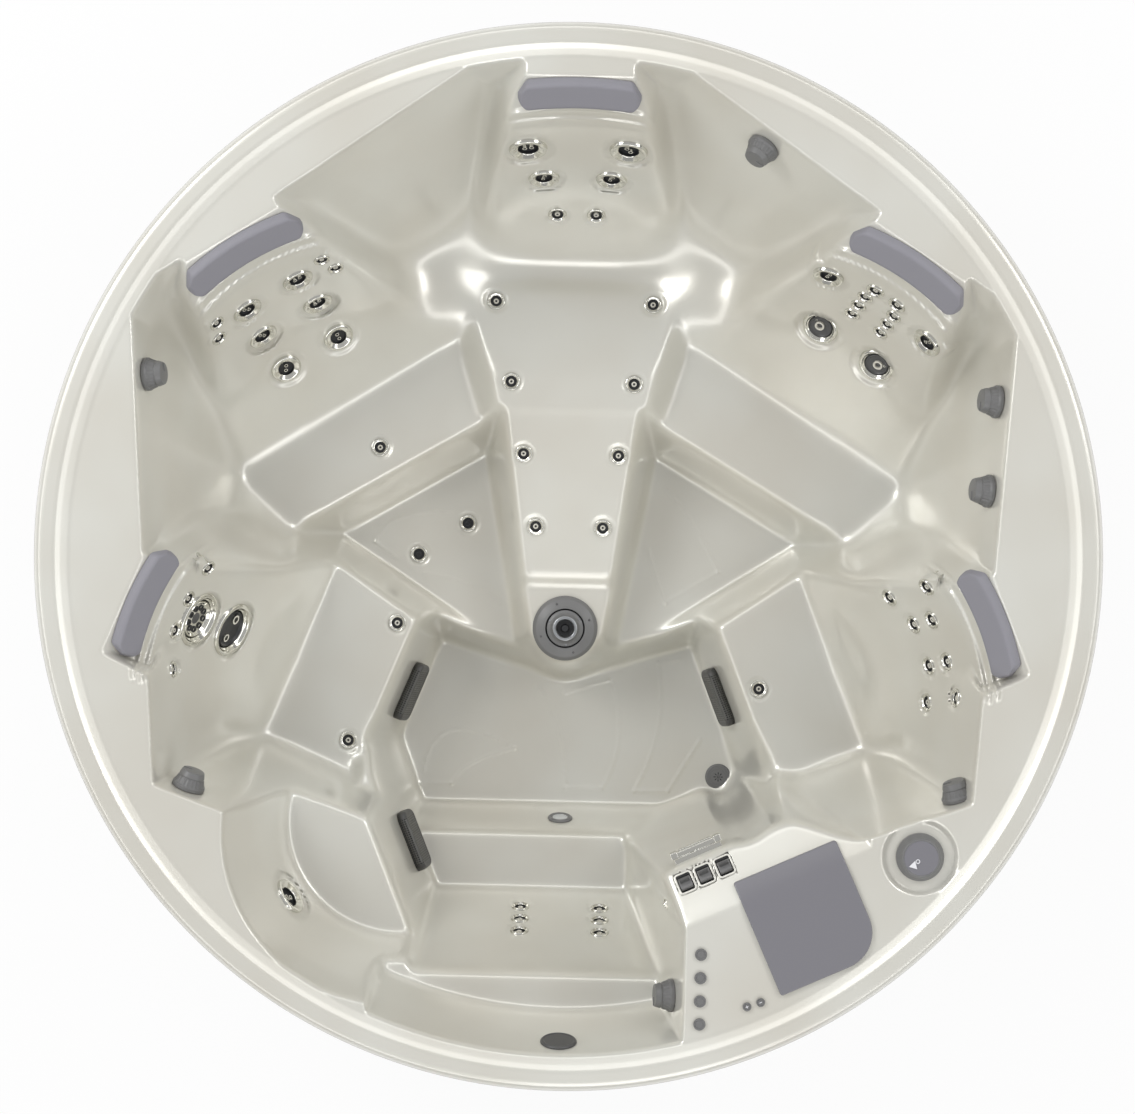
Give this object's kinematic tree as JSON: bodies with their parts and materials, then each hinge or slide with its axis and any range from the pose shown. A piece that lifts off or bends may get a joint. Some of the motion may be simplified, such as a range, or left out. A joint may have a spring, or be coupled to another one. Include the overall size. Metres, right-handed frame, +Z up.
{
  "type": "hot tub",
  "caption": "Round acrylic hot tub with a reclining lounge, moulded seats with pillows and jets, a high cool-down seat, an entry step and a control island with a filter lid.",
  "frame": {"origin": "centre of the underside of the base, on the ground", "axes": "+Z up; +Y towards the lounge's head end; +X towards the bather's left when lying on the lounge facing the entry"},
  "size_m": [2.2822, 2.286, 0.9166],
  "materials": {
    "acrylic": "pearl white cast acrylic, glossy",
    "trim": "grey moulded plastic, satin",
    "pillow": "grey closed-cell foam with a soft skin",
    "dark_trim": "dark grey moulded plastic",
    "chrome": "polished metal faces",
    "steel": "stainless tube",
    "cabinet": "brown-grey synthetic panel",
    "frame": "zinc coated steel",
    "plastic": "black moulded plastic",
    "lens": "pale frosted lens",
    "paper": "white pleated filter cloth"
  },
  "bodies": {
    "tub": {"shell": "acrylic", "lounge_back_jets": "chrome", "lounge_leg_jets": "chrome", "left_seat_jets": "chrome", "right_seat_jets": "chrome", "left_corner_jets": "chrome", "right_corner_jets": "chrome", "entry_jets": "chrome", "foot_jets": "chrome", "drain_cover": "trim", "step_light": "lens", "rim_cap": "dark_trim", "pod_jet_body": "trim", "suction_cover_left": "dark_trim", "suction_cover_right": "dark_trim", "suction_cover_entry": "dark_trim", "pillow_lounge": "pillow", "pillow_left_seat": "pillow", "pillow_right_seat": "pillow", "pillow_left_corner": "pillow", "pillow_right_corner": "pillow", "filter_canister": "plastic", "filter_cartridge": "paper", "waterfall_valve_block": "plastic", "waterfall_spout": "chrome", "diverter_body": "plastic", "base_pan": "plastic", "side_panel_right": "cabinet", "side_panel_left": "cabinet", "support_frame": "frame", "pump_1_motor": "plastic", "pump_1_wet_end": "dark_trim", "pump_2_motor": "plastic", "pump_2_wet_end": "dark_trim", "control_box": "cabinet", "heater": "steel"},
    "knob_lounge": {"knob_lounge": "trim"},
    "knob_right_1": {"knob_right_1": "trim"},
    "knob_right_2": {"knob_right_2": "trim"},
    "knob_right_corner": {"knob_right_corner": "trim"},
    "knob_left_corner": {"knob_left_corner": "trim"},
    "knob_left": {"knob_left": "trim"},
    "knob_entry": {"knob_entry": "trim"},
    "waterfall_lever_1": {"waterfall_lever_1": "dark_trim"},
    "waterfall_lever_2": {"waterfall_lever_2": "dark_trim"},
    "waterfall_lever_3": {"waterfall_lever_3": "dark_trim"},
    "button_1": {"button_1": "trim"},
    "button_2": {"button_2": "trim"},
    "button_3": {"button_3": "trim"},
    "button_4": {"button_4": "trim"},
    "button_plus": {"button_plus": "trim"},
    "button_minus": {"button_minus": "trim"},
    "right_seat_jet_face_1": {"right_seat_jet_face_1": "chrome"},
    "right_seat_jet_face_2": {"right_seat_jet_face_2": "chrome"},
    "left_corner_jet_face_1": {"left_corner_jet_face_1": "chrome"},
    "left_corner_jet_face_2": {"left_corner_jet_face_2": "chrome"},
    "pod_jet_face": {"pod_jet_face": "trim"},
    "filter_lid": {"filter_lid": "trim"},
    "diverter_handle": {"diverter_handle": "trim"},
    "service_door": {"service_door": "cabinet"}
  },
  "joints": [
    {"name": "knob_lounge_turn", "type": "hinge", "parent": "tub", "child": "knob_lounge", "pos_m": [0.40134, 0.8958, 0.82991], "axis": [-0.5318, -0.7595, 0.3746], "range_deg": [-90, 90]},
    {"name": "knob_right_1_turn", "type": "hinge", "parent": "tub", "child": "knob_right_1", "pos_m": [0.92073, 0.35669, 0.8299], "axis": [-0.972, 0.068, 0.2249], "range_deg": [-90, 90]},
    {"name": "knob_right_2_turn", "type": "hinge", "parent": "tub", "child": "knob_right_2", "pos_m": [0.90719, 0.16309, 0.8299], "axis": [-0.972, 0.068, 0.2249], "range_deg": [-90, 90]},
    {"name": "knob_right_corner_turn", "type": "hinge", "parent": "tub", "child": "knob_right_corner", "pos_m": [0.85584, -0.50237, 0.82991], "axis": [-0.3279, 0.9259, 0.1874], "range_deg": [-90, 90]},
    {"name": "knob_left_corner_turn", "type": "hinge", "parent": "tub", "child": "knob_left_corner", "pos_m": [-0.81058, -0.5184, 0.82991], "axis": [0.3279, 0.9259, 0.1874], "range_deg": [-90, 90]},
    {"name": "knob_left_turn", "type": "hinge", "parent": "tub", "child": "knob_left", "pos_m": [-0.92178, 0.37163, 0.8299], "axis": [0.972, 0.068, 0.2249], "range_deg": [-90, 90]},
    {"name": "knob_entry_turn", "type": "hinge", "parent": "tub", "child": "knob_entry", "pos_m": [0.24932, -0.94995, 0.78507], "axis": [-0.9877, 0, 0.1564], "range_deg": [-90, 90]},
    {"name": "waterfall_lever_1_turn", "type": "hinge", "parent": "tub", "child": "waterfall_lever_1", "pos_m": [0.26999, -0.69784, 0.84889], "axis": [-0.9107, -0.4131, 0], "range_deg": [-38, 38]},
    {"name": "waterfall_lever_2_turn", "type": "hinge", "parent": "tub", "child": "waterfall_lever_2", "pos_m": [0.31058, -0.67943, 0.84889], "axis": [-0.9107, -0.4131, 0], "range_deg": [-38, 38]},
    {"name": "waterfall_lever_3_turn", "type": "hinge", "parent": "tub", "child": "waterfall_lever_3", "pos_m": [0.35295, -0.66021, 0.84889], "axis": [-0.9107, -0.4131, 0], "range_deg": [-38, 38]},
    {"name": "button_1_press", "type": "slide", "parent": "tub", "child": "button_1", "axis": [0, 0, -1], "range_m": [0, 0.0025], "stiffness_N_per_m": 400},
    {"name": "button_2_press", "type": "slide", "parent": "tub", "child": "button_2", "axis": [0, 0, -1], "range_m": [0, 0.0025], "stiffness_N_per_m": 400},
    {"name": "button_3_press", "type": "slide", "parent": "tub", "child": "button_3", "axis": [0, 0, -1], "range_m": [0, 0.0025], "stiffness_N_per_m": 400},
    {"name": "button_4_press", "type": "slide", "parent": "tub", "child": "button_4", "axis": [0, 0, -1], "range_m": [0, 0.0025], "stiffness_N_per_m": 400},
    {"name": "button_plus_press", "type": "slide", "parent": "tub", "child": "button_plus", "axis": [0, 0, -1], "range_m": [0, 0.0025], "stiffness_N_per_m": 400},
    {"name": "button_minus_press", "type": "slide", "parent": "tub", "child": "button_minus", "axis": [0, 0, -1], "range_m": [0, 0.0025], "stiffness_N_per_m": 400},
    {"name": "right_seat_jet_face_1_spin", "type": "hinge", "parent": "tub", "child": "right_seat_jet_face_1", "pos_m": [0.69036, 0.45269, 0.49996], "axis": [-0.3799, -0.5964, 0.7071], "continuous": true},
    {"name": "right_seat_jet_face_2_spin", "type": "hinge", "parent": "tub", "child": "right_seat_jet_face_2", "pos_m": [0.56041, 0.53547, 0.49996], "axis": [-0.3799, -0.5964, 0.7071], "continuous": true},
    {"name": "left_corner_jet_face_1_spin", "type": "hinge", "parent": "tub", "child": "left_corner_jet_face_1", "pos_m": [-0.81545, -0.16007, 0.68003], "axis": [0.8367, -0.3466, 0.4239], "continuous": true},
    {"name": "left_corner_jet_face_2_spin", "type": "hinge", "parent": "tub", "child": "left_corner_jet_face_2", "pos_m": [-0.75704, -0.18426, 0.54497], "axis": [0.8367, -0.3466, 0.4239], "continuous": true},
    {"name": "pod_jet_face_spin", "type": "hinge", "parent": "tub", "child": "pod_jet_face", "pos_m": [-0.004, -0.16905, 0.28457], "axis": [0, 0, 1], "continuous": true},
    {"name": "diverter_turn", "type": "hinge", "parent": "tub", "child": "diverter_handle", "pos_m": [0.7681, -0.62499, 0.88481], "axis": [0, 0, 1], "range_deg": [-60, 60]},
    {"name": "filter_lid_lift", "type": "slide", "parent": "tub", "child": "filter_lid", "axis": [0, 0, 1], "range_m": [0, 0.1]},
    {"name": "service_door_lift", "type": "slide", "parent": "tub", "child": "service_door", "axis": [0, -1, 0], "range_m": [0, 0.15]}
  ]
}
